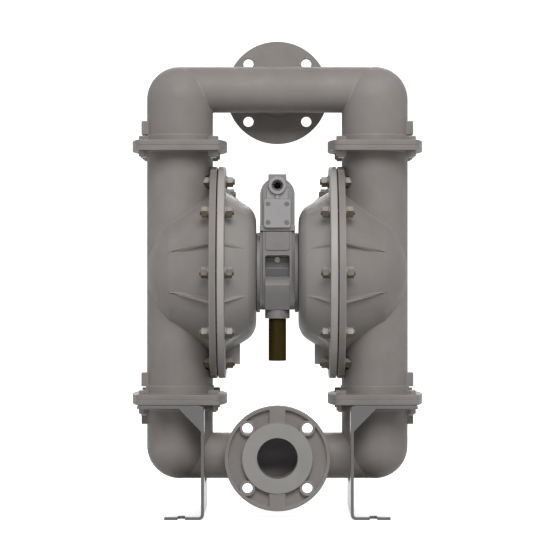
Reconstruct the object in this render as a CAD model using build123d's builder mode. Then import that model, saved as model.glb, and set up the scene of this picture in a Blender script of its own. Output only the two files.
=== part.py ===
from build123d import *
import os
from math import atan2, cos, radians, sin, tan

os.makedirs("parts", exist_ok=True)

# An air operated double diaphragm pump with 3 inch flanged ports, in millimetres.
# X runs across the pump, the suction flange faces -Y and the feet stand on Z = 0.
# The origin is on the floor, under the middle of the pump.

# Main layout
bracket_height = 204.3        # floor to the underside of the inlet manifold flange
joint_flange = 9.4            # thickness of each manifold joint flange
joint_offset = 230.0          # shaft axis to each manifold joint
pipe_offset = 335.0           # shaft axis to each manifold pipe axis
column_offset = 178.6         # centre plane to the axis of each column
running_gap = 0.3             # between curved faces that don't touch
fit_gap = 0.05                # radial running fit

# Columns and manifold pipes
column_radius = 60.5
column_wall = 8.5
pipe_radius = 42.0
pipe_bore = 37.0
dome_step = 0.3               # the elbow's dome stands this much over the pipe
hub_swell = 2.0
manifold_hub = 11.5           # height of the hub on a manifold joint flange
chamber_hub = 14.0            # height of the hub on the chamber's lower flange
lug_reach = 9.4               # side lugs past the column
lug_root = 12.0               # and into its wall
lug_width = 40.0
lug_low = 22.0                # side lugs, from the joint
lug_high = 47.0

# Manifold joint flanges
joint_front_half = 74.5       # half of the flat front edge
joint_half_width = 86.5       # half width at the middle
joint_half_depth = 90.0
joint_corner = 14.0
joint_bolt_x = 63.0
joint_bolt_y = 64.0

# Port flanges, class 150, 3 inch
port_flange_radius = 95.25
port_flange_thickness = 20.0
port_face = 92.5              # pipe axis to the flange face
port_bore = 36.5
port_bolt_circle = 76.2       # radius of the bolt circle
port_bolt_count = 4
port_bolt_hole = 9.525
port_face_radius = 64.0       # raised face
port_face_raise = 1.6
port_rim = 6.5                # width of the rim around the pockets
port_web = 29.0               # width of the two upright webs
port_boss = 14.0              # radius of the bosses around the bolt holes
port_pocket = 9.0             # depth of the pockets
neck_root = 38.0
neck_end = 47.0

# Fasteners
bolt_radius = 6.0
bolt_hole = 6.75
hex_flats = 18.0
head_height = 7.5
nut_height = 10.8
bolt_end = 3.0                # bolt past its nut
washer_radius = 11.6
washer_hole = 6.5
washer_thickness = 3.0

# Chamber rings, measured along X from the centre plane and inwards from their rim
ring_radius = 193.8
ring_edge = 26.1              # rim to the bolt circle
ring_bolt_count = 9
ring_chamfer = 1.5
liquid_face = 109.2
liquid_back = 121.8
air_face = 107.6
air_back = 94.1
air_end = 38.7
ring_band = 46.8              # rim to the mouth
bead_land = 3.0               # mouth out to the groove for the diaphragm's bead
bead_width = 7.0
bead_depth = 3.2
clamp_land = 2.5              # groove out to the diaphragm's rim

# Liquid chamber bell
bell_step = 2.3               # mouth in to where the bell leaves its ring
bell_drop = 38.8              # from there in to the crease
bell_crease_x = 194.6
bell_crease_turn = 1.3        # slope of the inner crease against the cone's
bell_dome_x = 28.4            # crease to the middle of the dome's arc
bell_dome_drop = 37.9
bell_sink = 1.6               # the dome ends this far inside the column's face
bell_wall = 8.3
bell_rib_rise = 18.3          # highest point of a rib over the bell
bell_rib_angle = 20.0
rib_thickness = 7.0
rib_proud = 0.3               # height of a rib at its thin end
rib_draft = 40.0              # ribs fall off to both sides of their middle
rib_root = 4.0                # ribs start this deep in the wall and the ring
spot_radius = 12.0            # recess round each outer nut
spot_gap = 0.7                # recess past the end of the stud
stud_boss = 17.0              # boss inside the column behind the recesses that cut into it
stud_boss_floor = 4.5

# Air chamber
shell_drop = 25.0             # mouth in to the shoulder of the cone
shell_shoulder_x = 54.0
shell_bulge_x = 7.1           # flat end to the middle of the shoulder's arc
shell_bulge_drop = 8.4
shell_end_drop = 30.0         # shoulder in to the flat end
shell_wall = 7.0
end_wall = 8.0
hollow_corner = 5.0           # flat end's rim in to the corner of the air space
hollow_via_x = 6.4
hollow_via_drop = 7.0
hollow_shoulder = 6.0
shell_rib_rise = 12.0
shell_rib_over = 3.0          # ribs run past the shoulder
shell_rib_dip = 2.6
shell_lug_x = 68.5
shell_lug_width = 24.0

# Diaphragm, plates and shaft
diaphragm_thickness = 5.0
roll_depth = 12.0
roll_inner_land = 3.0         # plates' rim to the roll
roll_outer_land = 2.0         # roll to the mouth
rim_land = 0.5                # thick middle to the thin rim
plate_band = 49.0             # mouth in to the plates' rim
plate_edge = 5.0
plate_slope = 25.0
inner_plate = 14.0
outer_plate = 15.0
outer_hub = 14.0
hub_radius = 20.0
hub_flare = 12.0
hub_floor = 5.0               # plate's hollow hub past the plate
stub_gap = 1.0                # end of the shaft's stub to the hub's floor
shaft_radius = 14.0
stub_radius = 10.0
shaft_stroke = 38.0
shaft_clearance = 1.0         # shaft through the air chambers

# Centre block
block_half_width = 31.7
disc_radius = 73.2
block_depth = 58.0            # half depth of the block
body_low = 67.7               # shaft axis down to the block's underside
body_corner = 16.0
face_step = 5.0               # ledge beside the front and back of the block and the valve
face_step_depth = 6.0
gasket_thickness = 1.0
gasket_inset = 2.0            # gasket's rim inside the disc's
gasket_clearance = 1.0        # its holes round the seals and the pilot rod
block_rise = 73.8             # shaft axis to the top of the block
bushing_radius = 18.0
bushing_inner = 8.0
seal_radius = 20.0
screw_circle = 55.0
screw_radius = 4.0
screw_reach = 20.0
window_half_width = 22.2
window_low = -8.9             # shaft axis to the window's lower and upper edge
window_high = 30.9
window_corner = 4.0
window_depth = 30.0
window_step = 8.3             # shaft axis to the ledge in the window
ledge_depth = 14.0
pad_half_width = 22.0         # pad under the valve
pad_low = 40.3
pad_corner = 5.0
pad_thickness = 2.5
bulge_crest = 24.0            # exhaust bulge: shaft axis down, and reach past the block
bulge_reach = 26.0
bulge_arc = 11.5
bulge_arc_reach = 15.5
bulge_foot_reach = 3.0
bulge_root = 20.0
plug_rise = 23.3
plug_head_radius = 5.5
plug_head = 4.0
plug_socket_radius = 2.0
plug_socket = 2.5
plug_hole_radius = 2.5
plug_hole = 8.0
plug_shank = 7.0
port_pitch = 24.0             # air ports between the block and the valve
port_radius = 4.0
port_depth = 12.0

# Pilot valve
pilot_rise = 36.0
pilot_radius = 5.0
pilot_sleeve_radius = 10.0
pilot_stroke = 6.0
pilot_clearance = 0.6         # rod through the air chambers
pilot_groove_half = 8.0
pilot_groove = 1.5

# Exhaust and muffler
exhaust_y = -38.0
exhaust_boss_radius = 22.5
exhaust_boss_low = 83.5       # shaft axis down to the mouth of the boss
exhaust_boss_height = 40.0
exhaust_bore = 10.5
exhaust_passage = 45.0
fitting_reach = 18.0          # muffler fitting, up and down from the boss
fitting_wall = 3.0
muffler_radius = 16.0
muffler_wall = 4.5
muffler_length = 77.0

# Air valve
valve_gasket = 1.5
valve_base_half = 32.3
valve_base_height = 10.0
valve_half_width = 31.5
valve_half_depth = 58.0
arch_rise = 65.7              # valve seat face to the centre of the arch
crown_half_width = 16.4
crown_rise = 103.0
spool_rise = 31.75
sleeve_radius = 18.0
spool_radius = 12.0
sleeve_half_length = 50.0
spool_stroke = 14.0
spool_length = 84.0
spool_waist = 8.0
spool_land = 16.0
inlet_rise = 82.2
inlet_boss_radius = 15.9
inlet_boss_reach = 11.0
inlet_hole = 10.5
inlet_thread = 20.0
inlet_passage = 6.0
neck_pad_width = 38.6         # pad between the inlet boss and the cover
neck_pad_height = 18.0
neck_pad_depth = 3.0
neck_web_width = 6.3
neck_web_height = 12.0
cover_half_width = 24.4
cover_height = 52.1
cover_thickness = 6.0
cover_gasket = 1.0
cover_corner = 4.5
cover_screw_x = 16.8
cover_screw_z = 16.75
cover_screw_radius = 2.0
cover_screw_length = 12.0
cover_head_radius = 3.5
cover_head = 3.7
cover_recess_radius = 3.8
cover_recess = 3.5
cover_socket_radius = 1.6
cover_socket = 2.0
mounting_x = 24.8
mounting_y = 38.0
mounting_radius = 3.0
mounting_seat = 51.0          # valve seat face up to the screw heads
mounting_head_radius = 5.0
mounting_head = 6.0
mounting_recess = 5.6
mounting_reach = 15.0         # screws into the block
mounting_hole = 16.0

# Check valves
ball_radius = 38.0
ball_lift = 20.0
ball_gap = 0.15
seat_radius = 56.0
seat_bore = 30.0
seat_top = 8.0                # seat above the joint
seat_gasket = 2.0
seat_cone = 7.8
seat_angle = 57.4
guide_gap = 0.5
cage_low = 4.0                # seat to the fins' root
cage_lead = 12.0              # seat to where the fins guide the ball
cage_top = 95.0
cage_slope = 10.0
cage_thickness = 6.0
stop_angle = 60.0

# Feet
sheet = 5.5
bend_radius = 9.5
leg_x = 131.5
foot_reach = 203.0
shelf_edge = 10.4             # shelf past the outer bolts
bracket_half_depth = 115.0
leg_window = 54.0
leg_window_low = 58.0
leg_window_corner = 12.0
foot_slot_edge = 30.7         # foot's edge in to the slots
foot_slot_width = 13.2
foot_slot_depth = 27.0
gusset = 49.5
gusset_root = 1.0
hub_cut = 68.0                # radius of the shelf's opening round the hub
hub_cut_depth = 23.0

# Worked out from the sizes above
shaft_height = bracket_height + joint_flange + joint_offset
lower_joint = shaft_height - joint_offset
upper_joint = shaft_height + joint_offset
pipe_rise = pipe_offset - joint_offset
dome_rise = pipe_rise + pipe_radius - column_radius + dome_step
column_bore = column_radius - column_wall
ring_bolt_circle = ring_radius - ring_edge
mouth_radius = ring_radius - ring_band
bead_inner = mouth_radius + bead_land
bead_outer = bead_inner + bead_width
clamp_radius = bead_outer + clamp_land
plate_radius = mouth_radius - plate_band
shelf_reach = column_offset + joint_bolt_x + shelf_edge
foot_slot_x = foot_reach - foot_slot_edge
diaphragm_plane = (liquid_face + air_face) / 2
clamp_gap = liquid_face - air_face
block_end = air_end - gasket_thickness
block_top = shaft_height + block_rise
valve_seat = block_top + valve_gasket
sides = (-1, 1)
corner_angles = (45, 135, 225, 315)
joint_corners = [(x * joint_bolt_x, y * joint_bolt_y) for x in sides for y in sides]
shaft_axis = Axis((0, 0, shaft_height), (1, 0, 0))
upward = (Align.CENTER, Align.CENTER, Align.MIN)
downward = (Align.CENTER, Align.CENTER, Align.MAX)
along_x = (0, 90, 0)
along_y = (-90, 0, 0)


def save(piece, name):
    """Label a finished piece and write it."""
    piece.part.label = name
    export_step(piece.part, f"parts/{name}.step")


def save_pair(piece, name):
    """Write the right-hand piece and its mirror image on the left."""
    save(piece, "right_" + name)
    with BuildPart() as twin:
        mirror(piece.part, about=Plane.YZ)
    save(twin, "left_" + name)


def radial_plane(angle, x=0):
    """Half plane through the shaft axis: X along the shaft, Y outwards at an angle from the front."""
    tilt = radians(angle)
    return Plane(origin=(x, 0, shaft_height), x_dir=(1, 0, 0), z_dir=(0, -sin(tilt), -cos(tilt)))


def face_plane(x):
    """Plane across the shaft, with X to the back and Y up."""
    return Plane(origin=(x, 0, shaft_height), x_dir=(0, 1, 0), z_dir=(1, 0, 0))


def upright_plane(x, z, angle):
    """Upright plane through a column axis, turned by an angle."""
    turn = radians(angle)
    return Plane(origin=(x, 0, z), x_dir=(cos(turn), sin(turn), 0), z_dir=(sin(turn), -cos(turn), 0))


def front_plane(y, z):
    """Upright plane across the pump, seen from the front."""
    return Plane(origin=(0, y, z), x_dir=(1, 0, 0), z_dir=(0, -1, 0))


# Ball height over the joint when it rests on its seat, and how the seat's cone carries it
contact_radius = (ball_radius + ball_gap) * sin(radians(seat_angle))
cone_rise = (contact_radius - seat_bore) * tan(radians(seat_angle))
ball_rest = seat_top - seat_cone + cone_rise + (ball_radius + ball_gap) * cos(radians(seat_angle))
ball_open = ball_rest + ball_lift
guide_radius = ball_radius + guide_gap


# Outline of a joint flange: flat front and back, sides that swell in the middle
with BuildSketch() as joint_outline:
    with BuildLine():
        Line((-joint_front_half, -joint_half_depth), (joint_front_half, -joint_half_depth))
        ThreePointArc(
            (joint_front_half, -joint_half_depth),
            (joint_half_width, 0),
            (joint_front_half, joint_half_depth),
        )
        Line((joint_front_half, joint_half_depth), (-joint_front_half, joint_half_depth))
        ThreePointArc(
            (-joint_front_half, joint_half_depth),
            (-joint_half_width, 0),
            (-joint_front_half, -joint_half_depth),
        )
    make_face()
    fillet(joint_outline.vertices(), radius=joint_corner)


def cage_fin(x, joint, angle):
    """One fin that guides a valve ball and stops it at the top of its lift."""
    stop = radians(stop_angle)
    half_stop = stop / 2
    root = column_bore + column_wall / 2
    with BuildPart() as fin:
        with BuildSketch(upright_plane(x, joint, angle)):
            with BuildLine():
                Polyline(
                    (root, seat_top + cage_low),
                    (root, cage_top),
                    (column_bore, cage_top),
                    (guide_radius * cos(stop), cage_top - cage_slope),
                    (guide_radius * cos(stop), ball_open + guide_radius * sin(stop)),
                )
                ThreePointArc(
                    (guide_radius * cos(stop), ball_open + guide_radius * sin(stop)),
                    (guide_radius * cos(half_stop), ball_open + guide_radius * sin(half_stop)),
                    (guide_radius, ball_open),
                )
                Polyline(
                    (guide_radius, ball_open),
                    (guide_radius, seat_top + cage_lead),
                    (root, seat_top + cage_low),
                )
            make_face()
        extrude(amount=cage_thickness / 2, both=True)
    return fin.part


def manifold(with_cages):
    """Two elbows joined by a pipe, with a port flange at its middle, standing on the joint plane."""
    with BuildPart() as casting:
        with Locations((-column_offset, 0, 0), (column_offset, 0, 0)):
            Cylinder(column_radius, dome_rise, align=upward)
            Cylinder(column_radius + hub_swell, joint_flange + manifold_hub, align=upward)
        with Locations((-column_offset, 0, dome_rise), (column_offset, 0, dome_rise)):
            Sphere(column_radius)
        with Locations((0, 0, pipe_rise)):
            Cylinder(pipe_radius, 2 * column_offset, rotation=along_x)
            Cone(neck_root, neck_end, port_face - port_flange_thickness, rotation=along_y, align=upward)
        with BuildSketch():
            with Locations((-column_offset, 0), (column_offset, 0)):
                add(joint_outline.sketch)
        extrude(amount=joint_flange)
        for side in sides:
            inner_x = column_offset + column_radius - lug_root
            outer_x = column_offset + column_radius + lug_reach
            with Locations((side * (inner_x + outer_x) / 2, 0, lug_low)):
                Box(outer_x - inner_x, lug_width, lug_high - lug_low, align=upward)

        # Port flange with a raised face, two upright webs and six pockets
        flange_back = Plane(
            origin=(0, port_face - port_flange_thickness, pipe_rise), x_dir=(1, 0, 0), z_dir=(0, 1, 0)
        )
        with BuildSketch(flange_back):
            Circle(port_flange_radius)
        extrude(amount=port_flange_thickness - port_face_raise)
        web_face = flange_back.offset(port_flange_thickness - port_face_raise)
        with BuildSketch(web_face):
            Circle(port_face_radius)
        extrude(amount=port_face_raise)
        with BuildSketch(web_face):
            Circle(port_flange_radius - port_rim)
            Circle(port_face_radius, mode=Mode.SUBTRACT)
            Rectangle(port_web, 2 * port_flange_radius, mode=Mode.SUBTRACT)
            with PolarLocations(port_bolt_circle, port_bolt_count, start_angle=45):
                Circle(port_boss, mode=Mode.SUBTRACT)
        extrude(amount=-port_pocket, mode=Mode.SUBTRACT)
        with BuildSketch(web_face):
            with PolarLocations(port_bolt_circle, port_bolt_count, start_angle=45):
                Circle(port_bolt_hole)
        extrude(amount=-port_flange_thickness, mode=Mode.SUBTRACT)

        # Waterways
        with Locations((-column_offset, 0, 0), (column_offset, 0, 0)):
            Cylinder(column_bore, dome_rise, align=upward, mode=Mode.SUBTRACT)
            Cylinder(seat_radius, seat_top, align=upward, mode=Mode.SUBTRACT)
        with Locations((-column_offset, 0, dome_rise), (column_offset, 0, dome_rise)):
            Sphere(column_bore, mode=Mode.SUBTRACT)
        with Locations((0, 0, pipe_rise)):
            Cylinder(pipe_bore, 2 * column_offset, rotation=along_x, mode=Mode.SUBTRACT)
            Cylinder(port_bore, port_face, rotation=along_y, align=upward, mode=Mode.SUBTRACT)
        if with_cages:
            for side in sides:
                for angle in corner_angles:
                    add(cage_fin(side * column_offset, 0, angle))

        # Joint bolt holes
        with BuildSketch():
            for side in sides:
                with Locations((side * column_offset, 0)):
                    with Locations(*joint_corners):
                        Circle(bolt_hole)
        extrude(amount=joint_flange, mode=Mode.SUBTRACT)
    return casting.part


discharge_casting = manifold(with_cages=True)
with BuildPart() as discharge_manifold:
    with Locations((0, 0, upper_joint)):
        add(discharge_casting)
save(discharge_manifold, "discharge_manifold")

inlet_casting = manifold(with_cages=False)
with BuildPart() as inlet_manifold:
    with Locations((0, 0, lower_joint)):
        add(inlet_casting, rotation=(180, 0, 0))
save(inlet_manifold, "inlet_manifold")


# Liquid chamber: a round column with a ribbed bell on its side
bell_root = mouth_radius - bell_step
bell_crease = bell_root - bell_drop
bell_end = column_offset + column_radius - bell_sink
cone_angle = atan2(bell_root - bell_crease, bell_crease_x - liquid_back)
bell_via = (bell_crease_x + bell_dome_x, bell_crease - bell_dome_drop)
inner_root = bell_root - bell_wall / cos(cone_angle)
crease_angle = bell_crease_turn * cone_angle
inner_crease = (bell_crease_x - bell_wall * sin(crease_angle), bell_crease - bell_wall * cos(crease_angle))
inner_via = (bell_via[0] - bell_wall * cos(cone_angle), bell_via[1] - bell_wall * sin(cone_angle))
spot_depth = washer_thickness + nut_height + bolt_end + spot_gap

with BuildPart() as stud_bosses:
    with Locations((column_offset, 0, lower_joint)):
        Cylinder(column_radius, 2 * joint_offset, align=upward)
    with BuildSketch(face_plane(liquid_back)):
        with PolarLocations(ring_bolt_circle, ring_bolt_count, start_angle=180):
            Circle(stud_boss)
    extrude(amount=spot_depth + stud_boss_floor, mode=Mode.INTERSECT)

with BuildPart() as liquid_chamber:
    with Locations((column_offset, 0, lower_joint)):
        Cylinder(column_radius, 2 * joint_offset, align=upward)
        Cylinder(column_radius + hub_swell, joint_flange + chamber_hub, align=upward)
    for low in (lower_joint, upper_joint - joint_flange):
        with BuildSketch(Plane.XY.offset(low)):
            with Locations((column_offset, 0)):
                add(joint_outline.sketch)
        extrude(amount=joint_flange)
    lug_inner = column_offset + column_radius - lug_root
    lug_outer = column_offset + column_radius + lug_reach
    with Locations(((lug_inner + lug_outer) / 2, 0, lower_joint + lug_low)):
        Box(lug_outer - lug_inner, lug_width, lug_high - lug_low, align=upward)
    with BuildSketch(radial_plane(90)):
        with BuildLine():
            Polyline(
                (liquid_face, 0),
                (liquid_face, ring_radius - ring_chamfer),
                (liquid_face + ring_chamfer, ring_radius),
                (liquid_back - ring_chamfer, ring_radius),
                (liquid_back, ring_radius - ring_chamfer),
                (liquid_back, bell_root),
                (bell_crease_x, bell_crease),
            )
            ThreePointArc((bell_crease_x, bell_crease), bell_via, (bell_end, 0))
            Line((bell_end, 0), (liquid_face, 0))
        make_face()
    revolve(axis=shaft_axis)
    for angle in (bell_rib_angle, -bell_rib_angle, 180 - bell_rib_angle, 180 + bell_rib_angle):
        with BuildSketch(radial_plane(angle)):
            with BuildLine():
                Polyline(
                    (liquid_back - rib_root, bell_root + bell_rib_rise),
                    (bell_crease_x, bell_crease + rib_proud),
                    (bell_crease_x - rib_root, bell_crease - rib_root),
                    (liquid_back - rib_root, bell_root - rib_root),
                    close=True,
                )
            make_face()
        extrude(amount=rib_thickness / 2, both=True, taper=rib_draft)

    # Liquid space
    with BuildSketch(radial_plane(90)):
        with BuildLine():
            Polyline((liquid_face, 0), (liquid_face, mouth_radius), (liquid_back, inner_root), inner_crease)
            ThreePointArc(inner_crease, inner_via, (bell_end - bell_wall, 0))
            Line((bell_end - bell_wall, 0), (liquid_face, 0))
        make_face()
    revolve(axis=shaft_axis, mode=Mode.SUBTRACT)
    with BuildSketch(radial_plane(90)):
        with Locations((liquid_face + bead_depth / 2, (bead_inner + bead_outer) / 2)):
            Rectangle(bead_depth, bead_outer - bead_inner)
    revolve(axis=shaft_axis, mode=Mode.SUBTRACT)
    with Locations((column_offset, 0, lower_joint)):
        Cylinder(column_bore, 2 * joint_offset, align=upward, mode=Mode.SUBTRACT)
        Cylinder(seat_radius, seat_top, align=upward, mode=Mode.SUBTRACT)
    with Locations((column_offset, 0, upper_joint)):
        Cylinder(seat_radius, seat_top, align=downward, mode=Mode.SUBTRACT)
    for angle in corner_angles:
        add(cage_fin(column_offset, lower_joint, angle))
    add(stud_bosses.part)

    # Bolt holes
    with BuildSketch(Plane.XY.offset(lower_joint)):
        with Locations((column_offset, 0)):
            with Locations(*joint_corners):
                Circle(bolt_hole)
    extrude(amount=2 * joint_offset, mode=Mode.SUBTRACT)
    with BuildSketch(face_plane(liquid_face)):
        with PolarLocations(ring_bolt_circle, ring_bolt_count, start_angle=180):
            Circle(bolt_hole)
    extrude(amount=liquid_back - liquid_face, mode=Mode.SUBTRACT)
    with BuildSketch(face_plane(liquid_back)):
        with PolarLocations(ring_bolt_circle, ring_bolt_count, start_angle=180):
            Circle(spot_radius)
    extrude(amount=spot_depth, mode=Mode.SUBTRACT)
save_pair(liquid_chamber, "liquid_chamber")


# Air chamber: a cone with nine ribs and a flat end against the centre block
shell_shoulder = mouth_radius - shell_drop
shell_end = shell_shoulder - shell_end_drop
shell_angle = atan2(shell_drop, air_back - shell_shoulder_x)
shell_offset = shell_wall / cos(shell_angle)
shell_via = (air_end + shell_bulge_x, shell_shoulder - shell_bulge_drop)
hollow_via = (shell_via[0] + hollow_via_x, shell_via[1] - hollow_via_drop)
hollow_x = shell_shoulder_x + hollow_shoulder
hollow_radius = shell_shoulder + hollow_shoulder * tan(shell_angle) - shell_offset

with BuildPart() as air_chamber:
    with BuildSketch(radial_plane(90)):
        with BuildLine():
            Line((air_end, 0), (air_end, shell_end))
            ThreePointArc((air_end, shell_end), shell_via, (shell_shoulder_x, shell_shoulder))
            Polyline(
                (shell_shoulder_x, shell_shoulder),
                (air_back, mouth_radius),
                (air_back, ring_radius - ring_chamfer),
                (air_back + ring_chamfer, ring_radius),
                (air_face - ring_chamfer, ring_radius),
                (air_face, ring_radius - ring_chamfer),
                (air_face, 0),
                (air_end, 0),
            )
        make_face()
    revolve(axis=shaft_axis)
    for number in range(ring_bolt_count):
        with BuildSketch(radial_plane(180 / ring_bolt_count * (2 * number + 1))):
            with BuildLine():
                Polyline(
                    (air_back + rib_root, mouth_radius + shell_rib_rise),
                    (shell_shoulder_x - shell_rib_over, shell_shoulder - shell_rib_dip),
                    (shell_shoulder_x + rib_root, shell_shoulder - rib_root),
                    (air_back + rib_root, mouth_radius - rib_root),
                    close=True,
                )
            make_face()
        extrude(amount=rib_thickness / 2, both=True, taper=rib_draft)
    with Locations(((shell_lug_x + air_back) / 2, 0, shaft_height - ring_bolt_circle)):
        Box(air_back - shell_lug_x, shell_lug_width, ring_bolt_circle - shell_shoulder, align=upward)

    # Air space
    with BuildSketch(radial_plane(90)):
        with BuildLine():
            Line((air_end + end_wall, 0), (air_end + end_wall, shell_end - hollow_corner))
            ThreePointArc(
                (air_end + end_wall, shell_end - hollow_corner), hollow_via, (hollow_x, hollow_radius)
            )
            Polyline(
                (hollow_x, hollow_radius),
                (air_back, mouth_radius - shell_offset),
                (air_face, mouth_radius),
                (air_face, 0),
                (air_end + end_wall, 0),
            )
        make_face()
    revolve(axis=shaft_axis, mode=Mode.SUBTRACT)
    with BuildSketch(radial_plane(90)):
        with Locations((air_face - bead_depth / 2, (bead_inner + bead_outer) / 2)):
            Rectangle(bead_depth, bead_outer - bead_inner)
    revolve(axis=shaft_axis, mode=Mode.SUBTRACT)

    # Holes for the studs, the shaft, the pilot rod and the countersunk screws
    with BuildSketch(face_plane(air_back)):
        with PolarLocations(ring_bolt_circle, ring_bolt_count, start_angle=180):
            Circle(bolt_hole)
    extrude(amount=air_face - air_back, mode=Mode.SUBTRACT)
    with BuildSketch(face_plane(air_end)):
        Circle(shaft_radius + shaft_clearance)
        with Locations((0, pilot_rise)):
            Circle(pilot_radius + pilot_clearance)
        with PolarLocations(screw_circle, 4, start_angle=45):
            Circle(screw_radius + running_gap)
    extrude(amount=end_wall, mode=Mode.SUBTRACT)
    with Locations(face_plane(air_end + end_wall - screw_radius)):
        with PolarLocations(screw_circle, 4, start_angle=45):
            Cone(
                screw_radius + running_gap,
                2 * screw_radius + running_gap,
                screw_radius,
                align=upward,
                mode=Mode.SUBTRACT,
            )
save_pair(air_chamber, "air_chamber")

# Countersunk screws that hold each air chamber to the block
with BuildPart() as air_chamber_screws:
    for side in sides:
        with Locations(face_plane(side * (air_end + end_wall))):
            with PolarLocations(screw_circle, 4, start_angle=45):
                Cylinder(
                    screw_radius,
                    end_wall + screw_reach,
                    align=downward if side > 0 else upward,
                )
                Cone(
                    screw_radius if side > 0 else 2 * screw_radius,
                    2 * screw_radius if side > 0 else screw_radius,
                    screw_radius,
                    align=downward if side > 0 else upward,
                )
save(air_chamber_screws, "air_chamber_screws")

# Flat gaskets between the block and the air chambers
with BuildPart() as air_chamber_gaskets:
    for x in (-air_end, block_end):
        with BuildSketch(face_plane(x)):
            Circle(disc_radius - gasket_inset)
            Circle(seal_radius + gasket_clearance, mode=Mode.SUBTRACT)
            with Locations((0, pilot_rise)):
                Circle(pilot_radius + gasket_clearance, mode=Mode.SUBTRACT)
            with PolarLocations(screw_circle, 4, start_angle=45):
                Circle(screw_radius + running_gap, mode=Mode.SUBTRACT)
        extrude(amount=gasket_thickness)
save(air_chamber_gaskets, "air_chamber_gaskets")

# Diaphragms: a flat middle, one roll and a beaded rim
rim_half = clamp_gap / 2
bead_half = rim_half + bead_depth
half_thickness = diaphragm_thickness / 2
roll_middle = (plate_radius + mouth_radius) / 2
flat_end = plate_radius + roll_inner_land
thick_end = mouth_radius - roll_outer_land

with BuildPart() as diaphragm:
    with BuildSketch(radial_plane(90, diaphragm_plane)):
        with BuildLine():
            Line((-half_thickness, stub_radius + running_gap), (-half_thickness, flat_end))
            ThreePointArc(
                (-half_thickness, flat_end),
                (-half_thickness - roll_depth, roll_middle),
                (-half_thickness, thick_end),
            )
            Polyline(
                (-half_thickness, thick_end),
                (-rim_half, mouth_radius - rim_land),
                (-rim_half, bead_inner + running_gap),
                (-bead_half, bead_inner + running_gap),
                (-bead_half, bead_outer - running_gap),
                (-rim_half, bead_outer - running_gap),
                (-rim_half, clamp_radius),
                (rim_half, clamp_radius),
                (rim_half, bead_outer - running_gap),
                (bead_half, bead_outer - running_gap),
                (bead_half, bead_inner + running_gap),
                (rim_half, bead_inner + running_gap),
                (rim_half, mouth_radius - rim_land),
                (half_thickness, thick_end),
            )
            ThreePointArc(
                (half_thickness, thick_end),
                (half_thickness - roll_depth, roll_middle),
                (half_thickness, flat_end),
            )
            Polyline(
                (half_thickness, flat_end),
                (half_thickness, stub_radius + running_gap),
                (-half_thickness, stub_radius + running_gap),
            )
        make_face()
    revolve(axis=shaft_axis)
save_pair(diaphragm, "diaphragm")

# Diaphragm plates: a dished one on the air side, a domed one with a hub on the liquid side
inner_face = diaphragm_plane - half_thickness
outer_face = diaphragm_plane + half_thickness

with BuildPart() as inner_plate_part:
    with BuildSketch(radial_plane(90)):
        with BuildLine():
            Polyline(
                (inner_face, stub_radius + fit_gap),
                (inner_face, plate_radius),
                (inner_face - plate_edge, plate_radius),
                (inner_face - inner_plate, plate_radius - plate_slope),
                (inner_face - inner_plate, stub_radius + fit_gap),
                close=True,
            )
        make_face()
    revolve(axis=shaft_axis)
save_pair(inner_plate_part, "inner_plate")

with BuildPart() as outer_plate_part:
    with BuildSketch(radial_plane(90)):
        with BuildLine():
            Polyline(
                (outer_face, stub_radius + fit_gap),
                (outer_face, plate_radius),
                (outer_face + plate_edge, plate_radius),
                (outer_face + outer_plate, hub_radius + hub_flare),
                (outer_face + outer_plate + outer_hub, hub_radius),
                (outer_face + outer_plate + outer_hub, 0),
                (outer_face + outer_plate + hub_floor, 0),
                (outer_face + outer_plate + hub_floor, stub_radius + fit_gap),
                close=True,
            )
        make_face()
    revolve(axis=shaft_axis)
save_pair(outer_plate_part, "outer_plate")

# Shaft with a threaded stub at each end
shoulder = inner_face - inner_plate
stub_end = outer_face + outer_plate + hub_floor - stub_gap
with BuildPart() as diaphragm_shaft:
    with Locations((0, 0, shaft_height)):
        Cylinder(shaft_radius, 2 * shoulder, rotation=along_x)
        Cylinder(stub_radius, 2 * stub_end, rotation=along_x)
save(diaphragm_shaft, "diaphragm_shaft")


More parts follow.
